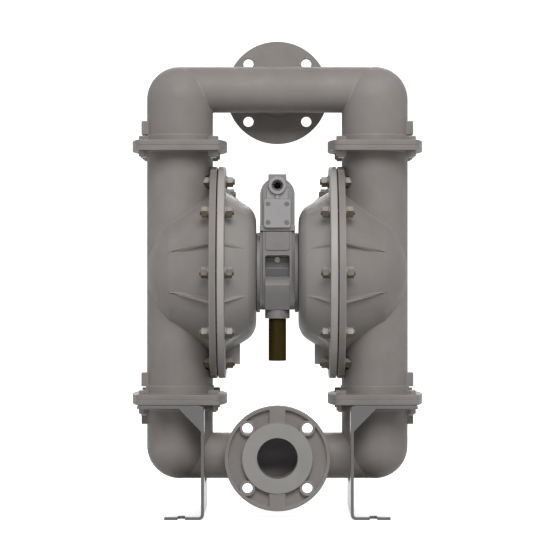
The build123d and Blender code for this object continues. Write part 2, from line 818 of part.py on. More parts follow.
# Centre block: a body between two discs, with a seat for the air valve on its top
exhaust_mouth = shaft_height - exhaust_boss_low
window_back = window_depth - block_depth
with BuildPart() as center_block:
    for inset, half_depth in ((0, block_depth - face_step_depth), (face_step, block_depth)):
        with BuildSketch(face_plane(inset - block_half_width)) as body:
            with Locations((0, -body_low)):
                Rectangle(2 * half_depth, body_low + block_rise, align=(Align.CENTER, Align.MIN))
            fillet(body.vertices().group_by(Axis.Y)[0], radius=body_corner)
        extrude(amount=2 * (block_half_width - inset))
    for x in (-block_end, block_half_width):
        with BuildSketch(face_plane(x)):
            Circle(disc_radius)
        extrude(amount=block_end - block_half_width)

    # Shallow pad under the valve, exhaust bulge under the window and the boss for the muffler
    with BuildSketch(front_plane(-block_depth, shaft_height)) as pad:
        with Locations((0, pad_low)):
            Rectangle(2 * pad_half_width, block_rise - pad_low, align=(Align.CENTER, Align.MIN))
        fillet(pad.vertices().group_by(Axis.Y)[0], radius=pad_corner)
    extrude(amount=pad_thickness)
    with BuildSketch(face_plane(-window_half_width)):
        with BuildLine():
            ThreePointArc(
                (-block_depth, window_low),
                (-block_depth - bulge_arc_reach, -bulge_arc),
                (-block_depth - bulge_reach, -bulge_crest),
            )
            Polyline(
                (-block_depth - bulge_reach, -bulge_crest),
                (-block_depth - bulge_foot_reach, -body_low),
                (bulge_root - block_depth, -body_low),
                (bulge_root - block_depth, window_low),
                (-block_depth, window_low),
            )
        make_face()
    extrude(amount=2 * window_half_width)
    with Locations((0, exhaust_y, exhaust_mouth)):
        Cylinder(exhaust_boss_radius, exhaust_boss_height, align=upward)

    # Window with a ledge
    with BuildSketch(front_plane(-block_depth, shaft_height)) as window:
        with Locations((0, window_low)):
            Rectangle(2 * window_half_width, window_high - window_low, align=(Align.CENTER, Align.MIN))
        fillet(window.vertices().group_by(Axis.Y)[-1], radius=window_corner)
    extrude(amount=-window_depth, mode=Mode.SUBTRACT)
    with Locations((0, -block_depth + ledge_depth, shaft_height + window_low)):
        Box(
            2 * window_half_width,
            window_depth - ledge_depth,
            window_step - window_low,
            align=(Align.CENTER, Align.MIN, Align.MIN),
        )

    # Bores for the shaft, its bushings and seals, and for the pilot sleeve
    with Locations((0, 0, shaft_height)):
        Cylinder(bushing_radius, 2 * block_end, rotation=along_x, mode=Mode.SUBTRACT)
    for x in (-block_end, block_half_width):
        with BuildSketch(face_plane(x)):
            Circle(seal_radius)
        extrude(amount=block_end - block_half_width, mode=Mode.SUBTRACT)
    with Locations((0, 0, shaft_height + pilot_rise)):
        Cylinder(pilot_sleeve_radius, 2 * block_end, rotation=along_x, mode=Mode.SUBTRACT)
    for x in (-block_end, air_end - screw_reach):
        with BuildSketch(face_plane(x)):
            with PolarLocations(screw_circle, 4, start_angle=45):
                Circle(screw_radius + fit_gap)
        extrude(amount=screw_reach - gasket_thickness, mode=Mode.SUBTRACT)

    # Exhaust bore, air ports under the valve and holes for its mounting screws
    with Locations((0, exhaust_y, exhaust_mouth)):
        Cylinder(exhaust_bore, exhaust_passage, align=upward, mode=Mode.SUBTRACT)
    with Locations((0, 0, block_top)):
        with GridLocations(0, port_pitch, 1, 3):
            Cylinder(port_radius, port_depth, align=downward, mode=Mode.SUBTRACT)
        with GridLocations(2 * mounting_x, 2 * mounting_y, 2, 2):
            Cylinder(mounting_radius + fit_gap, mounting_hole, align=downward, mode=Mode.SUBTRACT)
    with Locations((0, window_back, shaft_height + plug_rise)):
        Cylinder(plug_hole_radius, plug_hole, rotation=along_y, align=upward, mode=Mode.SUBTRACT)
save(center_block, "center_block")

# Small socket screw in the back of the window
with BuildPart() as window_plug:
    with Locations((0, window_back, shaft_height + plug_rise)):
        Cylinder(plug_head_radius, plug_head, rotation=along_y, align=downward)
        Cylinder(plug_hole_radius - fit_gap, plug_shank, rotation=along_y, align=upward)
    with Locations((0, window_back - plug_head, shaft_height + plug_rise)):
        Cylinder(plug_socket_radius, plug_socket, rotation=along_y, align=upward, mode=Mode.SUBTRACT)
save(window_plug, "window_plug")

# Shaft bushings and lip seals
with BuildPart() as shaft_bushings:
    for x in (-block_half_width, bushing_inner):
        with BuildSketch(face_plane(x)):
            Circle(bushing_radius - fit_gap)
            Circle(shaft_radius + fit_gap, mode=Mode.SUBTRACT)
        extrude(amount=block_half_width - bushing_inner)
save(shaft_bushings, "shaft_bushings")

with BuildPart() as shaft_seals:
    for x in (-block_end, block_half_width):
        with BuildSketch(face_plane(x)):
            Circle(seal_radius - fit_gap)
            Circle(shaft_radius + fit_gap, mode=Mode.SUBTRACT)
        extrude(amount=block_end - block_half_width)
save(shaft_seals, "shaft_seals")

# Pilot sleeve and the rod that the inner plates push at each end of the stroke
plate_at_end = shoulder - shaft_stroke
pilot_half_length = plate_at_end + pilot_stroke - running_gap
with BuildPart() as pilot_sleeve:
    with BuildSketch(face_plane(-block_end)):
        with Locations((0, pilot_rise)):
            Circle(pilot_sleeve_radius - fit_gap)
            Circle(pilot_radius + fit_gap, mode=Mode.SUBTRACT)
    extrude(amount=2 * block_end)
save(pilot_sleeve, "pilot_sleeve")

with BuildPart() as pilot_rod:
    with BuildSketch(radial_plane(90)):
        with BuildLine():
            Polyline(
                (-pilot_half_length, pilot_rise),
                (-pilot_half_length, pilot_rise + pilot_radius),
                (-pilot_groove_half, pilot_rise + pilot_radius),
                (-pilot_groove_half, pilot_rise + pilot_radius - pilot_groove),
                (pilot_groove_half, pilot_rise + pilot_radius - pilot_groove),
                (pilot_groove_half, pilot_rise + pilot_radius),
                (pilot_half_length, pilot_rise + pilot_radius),
                (pilot_half_length, pilot_rise),
                close=True,
            )
        make_face()
    revolve(axis=Axis((0, 0, shaft_height + pilot_rise), (1, 0, 0)))
save(pilot_rod, "pilot_rod")


# Muffler: a threaded fitting and a long porous sleeve with a closed end
muffler_low = exhaust_mouth - muffler_length
with BuildPart() as muffler_fitting:
    with Locations((0, exhaust_y, exhaust_mouth)):
        Cylinder(muffler_radius - muffler_wall - fit_gap, fitting_reach, align=downward)
        Cylinder(exhaust_bore - fit_gap, fitting_reach, align=upward)
        Cylinder(exhaust_bore - fitting_wall, 2 * fitting_reach, mode=Mode.SUBTRACT)
save(muffler_fitting, "muffler_fitting")

with BuildPart() as muffler_sleeve:
    with Locations((0, exhaust_y, muffler_low)):
        Cylinder(muffler_radius, muffler_length, align=upward)
    with Locations((0, exhaust_y, muffler_low + muffler_wall)):
        Cylinder(
            muffler_radius - muffler_wall, muffler_length - muffler_wall, align=upward, mode=Mode.SUBTRACT
        )
save(muffler_sleeve, "muffler_sleeve")


# Air valve gasket, with the air ports and the screw holes
with BuildPart() as valve_gasket_part:
    with BuildSketch(Plane.XY.offset(block_top)):
        Rectangle(2 * block_half_width, 2 * (block_depth - face_step_depth))
        Rectangle(2 * (block_half_width - face_step), 2 * block_depth)
        with GridLocations(0, port_pitch, 1, 3):
            Circle(port_radius, mode=Mode.SUBTRACT)
        with GridLocations(2 * mounting_x, 2 * mounting_y, 2, 2):
            Circle(mounting_radius + running_gap, mode=Mode.SUBTRACT)
    extrude(amount=valve_gasket)
save(valve_gasket_part, "valve_gasket")

# Air valve housing: an arch with a flat crown, a threaded inlet boss and a bore for the sleeve
with BuildPart() as valve_housing:
    for inset, half_depth in ((0, valve_half_depth - face_step_depth), (face_step, valve_half_depth)):
        with BuildSketch(front_plane(0, valve_seat)):
            with Locations((0, arch_rise)):
                Circle(valve_half_width - inset)
            Rectangle(2 * (valve_half_width - inset), arch_rise, align=(Align.CENTER, Align.MIN))
            Rectangle(2 * crown_half_width, crown_rise, align=(Align.CENTER, Align.MIN))
        extrude(amount=half_depth, both=True)
    with BuildSketch(Plane.XY.offset(valve_seat)):
        Rectangle(2 * valve_base_half, 2 * valve_half_depth)
    extrude(amount=valve_base_height)
    front_face = front_plane(-valve_half_depth, valve_seat)
    with BuildSketch(front_face):
        with Locations((0, inlet_rise)):
            Circle(inlet_boss_radius)
    extrude(amount=inlet_boss_reach)
    with BuildSketch(front_face):
        with Locations((0, spool_rise + cover_height / 2)):
            Rectangle(neck_pad_width, neck_pad_height, align=(Align.CENTER, Align.MIN))
    extrude(amount=neck_pad_depth)
    with BuildSketch(front_face):
        with Locations((0, spool_rise + cover_height / 2)):
            Rectangle(neck_web_width, neck_web_height, align=(Align.CENTER, Align.MIN))
    extrude(amount=cover_thickness + cover_gasket)

    # Air inlet, sleeve bore, ports and recessed screws
    with BuildSketch(front_face.offset(inlet_boss_reach)):
        with Locations((0, inlet_rise)):
            Circle(inlet_hole)
    extrude(amount=-inlet_thread, mode=Mode.SUBTRACT)
    with BuildSketch(front_face.offset(inlet_boss_reach)):
        with Locations((0, inlet_rise)):
            Circle(inlet_passage)
    extrude(amount=-valve_half_depth - inlet_boss_reach, mode=Mode.SUBTRACT)
    with Locations((0, 0, valve_seat)):
        Cylinder(inlet_passage, inlet_rise, align=upward, mode=Mode.SUBTRACT)
        with GridLocations(0, port_pitch, 1, 3):
            Cylinder(port_radius, spool_rise, align=upward, mode=Mode.SUBTRACT)
    with Locations((0, 0, valve_seat + spool_rise)):
        Cylinder(sleeve_radius, 2 * valve_half_depth, rotation=along_y, mode=Mode.SUBTRACT)
    with Locations((0, 0, valve_seat)):
        with GridLocations(2 * mounting_x, 2 * mounting_y, 2, 2):
            Cylinder(mounting_radius + running_gap, crown_rise, align=upward, mode=Mode.SUBTRACT)
    with Locations((0, 0, valve_seat + mounting_seat)):
        with GridLocations(2 * mounting_x, 2 * mounting_y, 2, 2):
            Cylinder(mounting_recess, crown_rise, align=upward, mode=Mode.SUBTRACT)
    for y in (-valve_half_depth, valve_half_depth - cover_screw_length):
        with Locations((0, y, valve_seat + spool_rise)):
            with Locations(Plane.XZ):
                with GridLocations(2 * cover_screw_x, 2 * cover_screw_z, 2, 2):
                    Cylinder(
                        cover_screw_radius + fit_gap,
                        cover_screw_length,
                        align=downward,
                        mode=Mode.SUBTRACT,
                    )
save(valve_housing, "valve_housing")

with BuildPart() as valve_sleeve:
    with Locations((0, 0, valve_seat + spool_rise)):
        Cylinder(sleeve_radius - fit_gap, 2 * sleeve_half_length, rotation=along_y)
        Cylinder(spool_radius + fit_gap, 2 * sleeve_half_length, rotation=along_y, mode=Mode.SUBTRACT)
        with GridLocations(0, port_pitch, 1, 3):
            Cylinder(port_radius, 2 * sleeve_radius, mode=Mode.SUBTRACT)
save(valve_sleeve, "valve_sleeve")

# Spool with three lands, at rest against the front end of its travel
spool_start = -(spool_length + spool_stroke) / 2
waist_length = (spool_length - 3 * spool_land) / 2
with BuildPart() as valve_spool:
    with Locations((0, spool_start, valve_seat + spool_rise)):
        Cylinder(spool_waist, spool_length, rotation=along_y, align=upward)
    for number in range(3):
        land_start = spool_start + number * (spool_land + waist_length)
        with Locations((0, land_start, valve_seat + spool_rise)):
            Cylinder(spool_radius, spool_land, rotation=along_y, align=upward)
save(valve_spool, "valve_spool")

# Front and rear covers, each with a spigot in the sleeve bore, and their gaskets
with BuildPart() as front_valve_cover:
    cover_back = front_plane(-valve_half_depth - cover_gasket, valve_seat + spool_rise)
    with BuildSketch(cover_back):
        RectangleRounded(2 * cover_half_width, cover_height, cover_corner)
    extrude(amount=cover_thickness)
    with BuildSketch(cover_back):
        Circle(sleeve_radius - fit_gap)
    extrude(amount=-(valve_half_depth + cover_gasket - sleeve_half_length - running_gap))
    with Locations(cover_back.offset(cover_thickness)):
        with GridLocations(2 * cover_screw_x, 2 * cover_screw_z, 2, 2):
            CounterBoreHole(cover_screw_radius + fit_gap, cover_recess_radius, cover_recess)
save(front_valve_cover, "front_valve_cover")

with BuildPart() as rear_valve_cover:
    mirror(front_valve_cover.part, about=Plane.XZ)
save(rear_valve_cover, "rear_valve_cover")

with BuildPart() as valve_cover_gaskets:
    for y in (-valve_half_depth, valve_half_depth + cover_gasket):
        with BuildSketch(front_plane(y, valve_seat + spool_rise)):
            RectangleRounded(2 * cover_half_width, cover_height, cover_corner)
            Circle(sleeve_radius + running_gap, mode=Mode.SUBTRACT)
            with GridLocations(2 * cover_screw_x, 2 * cover_screw_z, 2, 2):
                Circle(cover_screw_radius + running_gap, mode=Mode.SUBTRACT)
        extrude(amount=cover_gasket)
save(valve_cover_gaskets, "valve_cover_gaskets")

with BuildPart() as front_cover_screws:
    head_seat = cover_back.offset(cover_thickness - cover_recess)
    with Locations(head_seat):
        with GridLocations(2 * cover_screw_x, 2 * cover_screw_z, 2, 2):
            Cylinder(cover_head_radius, cover_head, align=upward)
            Cylinder(cover_screw_radius, cover_screw_length, align=downward)
    with Locations(head_seat.offset(cover_head)):
        with GridLocations(2 * cover_screw_x, 2 * cover_screw_z, 2, 2):
            Cylinder(cover_socket_radius, cover_socket, align=downward, mode=Mode.SUBTRACT)
with BuildPart() as valve_cover_screws:
    add(front_cover_screws.part)
    mirror(front_cover_screws.part, about=Plane.XZ)
save(valve_cover_screws, "valve_cover_screws")

with BuildPart() as valve_mounting_screws:
    with Locations((0, 0, valve_seat + mounting_seat)):
        with GridLocations(2 * mounting_x, 2 * mounting_y, 2, 2):
            Cylinder(mounting_head_radius, mounting_head, align=upward)
            Cylinder(mounting_radius, mounting_seat + valve_gasket + mounting_reach, align=downward)
save(valve_mounting_screws, "valve_mounting_screws")


# Valve seats with a coned top, their flat seals and the balls that rest on them
def valve_seats(joint):
    """Two seats clamped in one pair of joints."""
    with BuildPart() as seats:
        with BuildSketch(upright_plane(column_offset, joint, 0)):
            with BuildLine():
                cone_width = seat_cone / tan(radians(seat_angle))
                Polyline(
                    (seat_bore, seat_gasket - seat_top),
                    (seat_radius - fit_gap, seat_gasket - seat_top),
                    (seat_radius - fit_gap, seat_top),
                    (seat_bore + cone_width, seat_top),
                    (seat_bore, seat_top - seat_cone),
                    close=True,
                )
            make_face()
        revolve(axis=Axis((column_offset, 0, joint), (0, 0, 1)))
    return seats


for kind, joint in (("inlet_seat", lower_joint), ("discharge_seat", upper_joint)):
    save_pair(valve_seats(joint), kind)
    with BuildPart() as seat_gaskets:
        with BuildSketch(Plane.XY.offset(joint - seat_top)):
            with Locations((-column_offset, 0), (column_offset, 0)):
                Circle(seat_radius - fit_gap)
                Circle(column_bore, mode=Mode.SUBTRACT)
        extrude(amount=seat_gasket)
    save(seat_gaskets, kind + "_gaskets")

for kind, joint in (("inlet_ball", lower_joint), ("discharge_ball", upper_joint)):
    with BuildPart() as ball:
        with Locations((column_offset, 0, joint + ball_rest)):
            Sphere(ball_radius)
    save_pair(ball, kind)


# Bent sheet foot bracket with a window for the elbow, gussets and open slots
with BuildPart() as foot_bracket:
    with BuildSketch(Plane.XZ):
        with BuildLine():
            FilletPolyline(
                (foot_reach, 0),
                (leg_x, 0),
                (leg_x, bracket_height),
                (shelf_reach, bracket_height),
                radius=bend_radius,
            )
            Line((shelf_reach, bracket_height), (shelf_reach, bracket_height - sheet))
            FilletPolyline(
                (shelf_reach, bracket_height - sheet),
                (leg_x + sheet, bracket_height - sheet),
                (leg_x + sheet, sheet),
                (foot_reach, sheet),
                radius=bend_radius - sheet,
            )
            Line((foot_reach, sheet), (foot_reach, 0))
        make_face()
    extrude(amount=bracket_half_depth, both=True)
    for y in (-bracket_half_depth + sheet, bracket_half_depth):
        with BuildSketch(front_plane(y, bracket_height - gusset_root)):
            with BuildLine():
                Polyline(
                    (leg_x + gusset_root, 0), (leg_x + gusset, 0), (leg_x + gusset_root, -gusset), close=True
                )
            make_face()
        extrude(amount=sheet)
    with BuildSketch(Plane.YZ.offset(leg_x)) as leg_opening:
        with Locations((0, leg_window_low)):
            Rectangle(2 * leg_window, bracket_height, align=(Align.CENTER, Align.MIN))
        fillet(leg_opening.vertices(), radius=leg_window_corner)
    extrude(amount=sheet, mode=Mode.SUBTRACT)
    with Locations((column_offset, 0, bracket_height)):
        Cylinder(hub_cut, 2 * hub_cut_depth, mode=Mode.SUBTRACT)
    with BuildSketch(Plane.XY):
        for y in (-bracket_half_depth, bracket_half_depth):
            with Locations((foot_slot_x, y)):
                SlotOverall(2 * foot_slot_depth, foot_slot_width, rotation=90)
    extrude(amount=sheet, mode=Mode.SUBTRACT)
    with BuildSketch(Plane.XY.offset(bracket_height)):
        with Locations((column_offset, 0)):
            with Locations(*joint_corners):
                Circle(bolt_hole)
    extrude(amount=-sheet, mode=Mode.SUBTRACT)
save_pair(foot_bracket, "foot_bracket")


# Fasteners
hex_radius = hex_flats / 2


def joint_hardware(head_seat, nut_seats, name):
    """Hex bolts with their heads up and nuts below, at the corners of two joints."""
    with BuildPart() as bolts:
        for side in sides:
            for corner_x, corner_y in joint_corners:
                spot = side * column_offset + corner_x
                nut_seat = nut_seats[0] if side * corner_x < 0 else nut_seats[1]
                low = nut_seat - nut_height - bolt_end
                with BuildSketch(Plane.XY.offset(head_seat)):
                    with Locations((spot, corner_y)):
                        RegularPolygon(hex_radius, 6, major_radius=False)
                extrude(amount=head_height)
                with BuildSketch(Plane.XY.offset(low)):
                    with Locations((spot, corner_y)):
                        Circle(bolt_radius)
                extrude(amount=head_seat - low)
    save(bolts, name + "_bolts")
    with BuildPart() as nuts:
        for side in sides:
            for corner_x, corner_y in joint_corners:
                nut_seat = nut_seats[0] if side * corner_x < 0 else nut_seats[1]
                with BuildSketch(Plane.XY.offset(nut_seat)):
                    with Locations((side * column_offset + corner_x, corner_y)):
                        RegularPolygon(hex_radius, 6, major_radius=False)
                        Circle(bolt_radius + fit_gap, mode=Mode.SUBTRACT)
                extrude(amount=-nut_height)
    save(nuts, name + "_nuts")


joint_hardware(upper_joint + joint_flange, (upper_joint - joint_flange,) * 2, "discharge_joint")
joint_hardware(lower_joint + joint_flange, (bracket_height, bracket_height - sheet), "inlet_joint")

# Studs through each pair of chamber rings, with a washer and a nut at each end
inner_seat = air_back - washer_thickness
outer_seat = liquid_back + washer_thickness
stud_inner = inner_seat - nut_height - bolt_end
stud_outer = outer_seat + nut_height + bolt_end
with BuildPart() as chamber_studs:
    with BuildSketch(face_plane(stud_inner)):
        with PolarLocations(ring_bolt_circle, ring_bolt_count, start_angle=180):
            Circle(bolt_radius)
    extrude(amount=stud_outer - stud_inner)
save_pair(chamber_studs, "chamber_studs")

with BuildPart() as chamber_washers:
    for x in (inner_seat, liquid_back):
        with BuildSketch(face_plane(x)):
            with PolarLocations(ring_bolt_circle, ring_bolt_count, start_angle=180):
                Circle(washer_radius)
                Circle(washer_hole, mode=Mode.SUBTRACT)
        extrude(amount=washer_thickness)
save_pair(chamber_washers, "chamber_washers")

with BuildPart() as chamber_nuts:
    for x in (inner_seat - nut_height, outer_seat):
        with BuildSketch(face_plane(x)):
            with PolarLocations(ring_bolt_circle, ring_bolt_count, start_angle=180):
                RegularPolygon(hex_radius, 6, major_radius=False)
                Circle(bolt_radius + fit_gap, mode=Mode.SUBTRACT)
        extrude(amount=nut_height)
save_pair(chamber_nuts, "chamber_nuts")
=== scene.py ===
import bpy
from math import cos, pi, radians, sin
from mathutils import Matrix, Vector


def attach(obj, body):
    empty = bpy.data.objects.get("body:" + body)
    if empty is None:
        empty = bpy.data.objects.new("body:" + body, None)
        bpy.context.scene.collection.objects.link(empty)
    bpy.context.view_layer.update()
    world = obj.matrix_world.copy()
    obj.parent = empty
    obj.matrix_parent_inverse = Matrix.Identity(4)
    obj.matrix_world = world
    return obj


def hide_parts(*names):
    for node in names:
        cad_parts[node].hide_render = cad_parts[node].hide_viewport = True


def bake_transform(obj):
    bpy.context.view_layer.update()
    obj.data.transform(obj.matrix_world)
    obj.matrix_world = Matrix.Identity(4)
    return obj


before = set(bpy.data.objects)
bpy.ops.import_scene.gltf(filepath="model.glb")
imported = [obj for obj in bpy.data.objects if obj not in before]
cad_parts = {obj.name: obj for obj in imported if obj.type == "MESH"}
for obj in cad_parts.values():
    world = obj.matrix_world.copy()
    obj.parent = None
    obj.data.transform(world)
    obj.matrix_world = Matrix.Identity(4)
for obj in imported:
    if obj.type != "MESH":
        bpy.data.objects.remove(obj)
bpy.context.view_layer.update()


# Foot brackets
# Two feet of bent steel sheet carry the pump. Each is folded from one sheet, with a window for the elbow,
# a welded gusset at each end of its shelf and an open slot at each end of its foot. Its grey paint has a satin gloss.
def finish_start(name, metallic, roughness, specular):
    """Starts a finish and gives back its nodes, its shader and the place on the piece."""
    finish = bpy.data.materials.new(name)
    finish.use_nodes = True
    tree = finish.node_tree
    shader = tree.nodes["Principled BSDF"]
    shader.inputs["Metallic"].default_value = metallic
    shader.inputs["Roughness"].default_value = roughness
    shader.inputs["Specular IOR Level"].default_value = specular
    place = tree.nodes.new("ShaderNodeTexCoord").outputs["Object"]
    return finish, tree, shader, place


def noise_at(tree, place, scale, detail):
    """Noise of one scale over a piece."""
    noise = tree.nodes.new("ShaderNodeTexNoise")
    noise.inputs["Scale"].default_value = scale
    noise.inputs["Detail"].default_value = detail
    tree.links.new(place, noise.inputs["Vector"])
    return noise.outputs["Fac"]


def clouds(tree, place, scale, low, high, detail=3.0):
    """Soft clouds of one scale, between two values."""
    span = tree.nodes.new("ShaderNodeMapRange")
    span.inputs["From Min"].default_value = 0.3
    span.inputs["From Max"].default_value = 0.7
    span.inputs["To Min"].default_value = low
    span.inputs["To Max"].default_value = high
    tree.links.new(noise_at(tree, place, scale, detail), span.inputs["Value"])
    return span.outputs["Result"]


def blended(tree, amount, first, second):
    """One colour or colour output mixed into another by an amount."""
    mix = tree.nodes.new("ShaderNodeMix")
    mix.data_type = "RGBA"
    tree.links.new(amount, mix.inputs["Factor"])
    for socket, colour in ((mix.inputs[6], first), (mix.inputs[7], second)):
        if isinstance(colour, tuple):
            socket.default_value = (*colour, 1)
        else:
            tree.links.new(colour, socket)
    return mix.outputs[2]


def bumps(tree, shader, height, depth, strength=1.0):
    """Raises the surface by a height pattern."""
    bump = tree.nodes.new("ShaderNodeBump")
    bump.inputs["Strength"].default_value = strength
    bump.inputs["Distance"].default_value = depth
    tree.links.new(height, bump.inputs["Height"])
    tree.links.new(bump.outputs["Normal"], shader.inputs["Normal"])
    return bump


def grain(tree, shader, place, scale, depth):
    """Fine bumps all over the surface."""
    bumps(tree, shader, noise_at(tree, place, scale, 2.0), depth)


def metal_skin(name, pale, deep, stain, rough, grain_scale, grain_depth, metallic=0.15, specular=0.3):
    """A grey metal skin: broad clouds of two greys, a faint stain, and a grain."""
    finish, tree, shader, place = finish_start(name, metallic, rough, specular)
    broad = blended(tree, clouds(tree, place, 7.0, 0.0, 1.0), deep, pale)
    stained = blended(tree, clouds(tree, place, 26.0, 0.0, 0.22, 5.0), broad, stain)
    tree.links.new(stained, shader.inputs["Base Color"])
    tree.links.new(clouds(tree, place, 90.0, 0.88 * rough, 1.13 * rough), shader.inputs["Roughness"])
    grain(tree, shader, place, grain_scale, grain_depth)
    return finish


def pick(piece):
    """Selects one piece alone and makes it active."""
    bpy.ops.object.select_all(action="DESELECT")
    piece.select_set(True)
    bpy.context.view_layer.objects.active = piece


def paint(piece, *skins):
    """Gives a piece its finishes in place of the old ones."""
    piece.data.materials.clear()
    for skin in skins:
        piece.data.materials.append(skin)


def twin_of(name, data):
    """A new piece with its own copy of a mesh."""
    twin = bpy.data.objects.new(name, data.copy())
    bpy.context.scene.collection.objects.link(twin)
    return twin


def merged_copy(node, name):
    """A copy of a CAD piece, picked and open for editing, with its loose triangles joined."""
    piece = twin_of(name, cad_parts[node].data)
    pick(piece)
    bpy.ops.mesh.customdata_custom_splitnormals_clear()
    bpy.ops.object.mode_set(mode="EDIT")
    bpy.ops.mesh.select_all(action="SELECT")
    bpy.ops.mesh.remove_doubles(threshold=0.00002)
    return piece


def softened(node, width, skin, edge_highlight_skin, reshape=None):
    """A copy of a CAD piece with joined faces and rounded edges, which get a second finish: a painted highlight where
    it is paler.
    """
    flat_within, edge_from, smooth_below = radians(0.5), radians(35), radians(50)
    piece = merged_copy(node, node + "_finished")
    bpy.ops.mesh.dissolve_limited(angle_limit=flat_within)
    bpy.ops.object.mode_set(mode="OBJECT")
    paint(piece, skin, edge_highlight_skin)
    if reshape:
        reshape(piece)
    rounding = piece.modifiers.new("rounded edges", "BEVEL")
    rounding.width = width
    rounding.segments = 2
    rounding.limit_method = "ANGLE"
    rounding.angle_limit = edge_from
    rounding.use_clamp_overlap = False
    # The rounded edges wear the second finish, a paler painted highlight
    rounding.material = 1
    bpy.ops.object.modifier_apply(modifier=rounding.name)
    bpy.ops.object.shade_smooth_by_angle(angle=smooth_below)
    evening = piece.modifiers.new("even shading", "WEIGHTED_NORMAL")
    evening.keep_sharp = True
    bpy.ops.object.modifier_apply(modifier=evening.name)
    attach(piece, "housing")
    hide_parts(node)
    return piece


bracket_paint = metal_skin("bracket_paint", (0.105, 0.099, 0.101), (0.088, 0.082, 0.084), (0.075, 0.066, 0.060),
                           0.4, 520.0, 0.00001, 0.0, 0.5)
gloss = bracket_paint.node_tree.nodes["Principled BSDF"].inputs
gloss["Coat Weight"].default_value = 0.8
gloss["Coat Roughness"].default_value = 0.3
# Painted highlight: the rounded edges of the feet are painted paler than the paint, for the light lines along them
bracket_edge_highlight = metal_skin("bracket_edge_highlight", (0.15, 0.145, 0.145), (0.125, 0.12, 0.12), (0.105, 0.095, 0.09),
                          0.3, 700.0, 0.00001, 0.0, 0.5)
for node in ("left_foot_bracket", "right_foot_bracket"):
    softened(node, 0.0009, bracket_paint, bracket_edge_highlight)


# Inlet manifold
# The suction side is one sand casting: two elbows, the pipe between them and a flange with six pockets that faces
# the front. Its skin is dull grey from blasting, and only the raised face of the flange is turned.
def plain_skin(name, pale, deep, rough, specular, cloud_scale, grain_scale, grain_depth, metallic=0.0):
    """A moulded or sawn material of two near colours with a grain."""
    finish, tree, shader, place = finish_start(name, metallic, rough, specular)
    tone = blended(tree, clouds(tree, place, cloud_scale, 0.0, 1.0), deep, pale)
    tree.links.new(tone, shader.inputs["Base Color"])
    tree.links.new(clouds(tree, place, 3 * cloud_scale, rough - 0.05, rough + 0.05), shader.inputs["Roughness"])
    grain(tree, shader, place, grain_scale, grain_depth)
    return finish


def turned_face(name, axis_z):
    """A turned flange face with fine rings round the port."""
    finish, tree, shader, place = finish_start(name, 0.3, 0.4, 0.35)
    parts = tree.nodes.new("ShaderNodeSeparateXYZ")
    tree.links.new(place, parts.inputs["Vector"])
    around = tree.nodes.new("ShaderNodeCombineXYZ")
    tree.links.new(parts.outputs["X"], around.inputs["X"])
    rise = tree.nodes.new("ShaderNodeMath")
    rise.operation = "SUBTRACT"
    rise.inputs[1].default_value = axis_z
    tree.links.new(parts.outputs["Z"], rise.inputs[0])
    tree.links.new(rise.outputs["Value"], around.inputs["Y"])
    rings = tree.nodes.new("ShaderNodeTexWave")
    rings.wave_type = "RINGS"
    rings.rings_direction = "Z"
    rings.inputs["Scale"].default_value = 320.0
    rings.inputs["Distortion"].default_value = 0.15
    tree.links.new(around.outputs["Vector"], rings.inputs["Vector"])
    bumps(tree, shader, rings.outputs["Fac"], 0.0001, 0.35)
    tone = blended(tree, clouds(tree, place, 18.0, 0.0, 1.0), (0.258, 0.250, 0.241), (0.290, 0.281, 0.271))
    tree.links.new(tone, shader.inputs["Base Color"])
    tree.links.new(clouds(tree, place, 140.0, 0.34, 0.46), shader.inputs["Roughness"])
    return finish


def add_skin(piece, skin, wears):
    """Gives one more finish to the faces that wear it."""
    piece.data.materials.append(skin)
    number = len(piece.data.materials) - 1
    for face in piece.data.polygons:
        if wears(face):
            face.material_index = number


def flat_at(towards, depth):
    """Tells whether a face looks one way from one depth."""
    square, slack = 0.99, 0.0004
    return lambda face: face.normal.dot(towards) > square and abs(face.center.dot(towards) - depth) < slack


casting_skin = metal_skin("casting_skin", (0.312, 0.293, 0.279), (0.262, 0.244, 0.232), (0.205, 0.168, 0.150),
                          0.58, 900.0, 0.00007, 0.08, 0.16)
# Painted highlight: the rounded edges of the castings are painted a little paler than their skin
casting_edge_highlight = metal_skin("casting_edge_highlight", (0.338, 0.32, 0.306), (0.29, 0.273, 0.26), (0.23, 0.20, 0.182),
                          0.5, 900.0, 0.00006, 0.1, 0.22)
suction_z = 0.1087
port_face = 0.0925
front, back = Vector((0, -1, 0)), Vector((0, 1, 0))
inlet_manifold = softened("inlet_manifold", 0.0012, casting_skin, casting_edge_highlight)
add_skin(inlet_manifold, turned_face("suction_face", suction_z), flat_at(front, port_face))

# The inside of its pipe, which shows through the port, is painted paler: painted light, as if lamp light fell into the
# bore
bore_radius, bore_half = 0.0372, 0.12
bore_painted_light = plain_skin("bore_painted_light", (0.50, 0.48, 0.50), (0.42, 0.40, 0.42), 0.5, 0.3, 25.0, 500.0, 0.0001)
add_skin(inlet_manifold, bore_painted_light, lambda face: abs(face.center.x) < bore_half
         and Vector((face.center.y, face.center.z - suction_z)).length < bore_radius)


# Lower valve seats, their seals and the balls
# A coned seat of hard plastic is clamped in each joint on a flat seal, and a rubber ball rests on its cone.
# Nothing fixes the ball: the liquid lifts it against the fins round it.
def dress(skin, *nodes):
    """Gives the CAD pieces that stay as they are their finish."""
    for node in nodes:
        paint(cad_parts[node], skin)


seat_plastic = plain_skin("seat_plastic", (0.68, 0.67, 0.63), (0.60, 0.59, 0.55), 0.38, 0.5, 30.0, 400.0, 0.00003)
seal_skin = plain_skin("seal_skin", (0.045, 0.045, 0.047), (0.03, 0.03, 0.031), 0.7, 0.3, 60.0, 900.0, 0.00008)
ball_rubber = plain_skin("ball_rubber", (0.035, 0.034, 0.033), (0.022, 0.022, 0.022), 0.55, 0.4, 40.0, 700.0, 0.00005)
dress(seat_plastic, "left_inlet_seat", "right_inlet_seat")
dress(seal_skin, "inlet_seat_gaskets")
dress(ball_rubber, "left_inlet_ball", "right_inlet_ball")


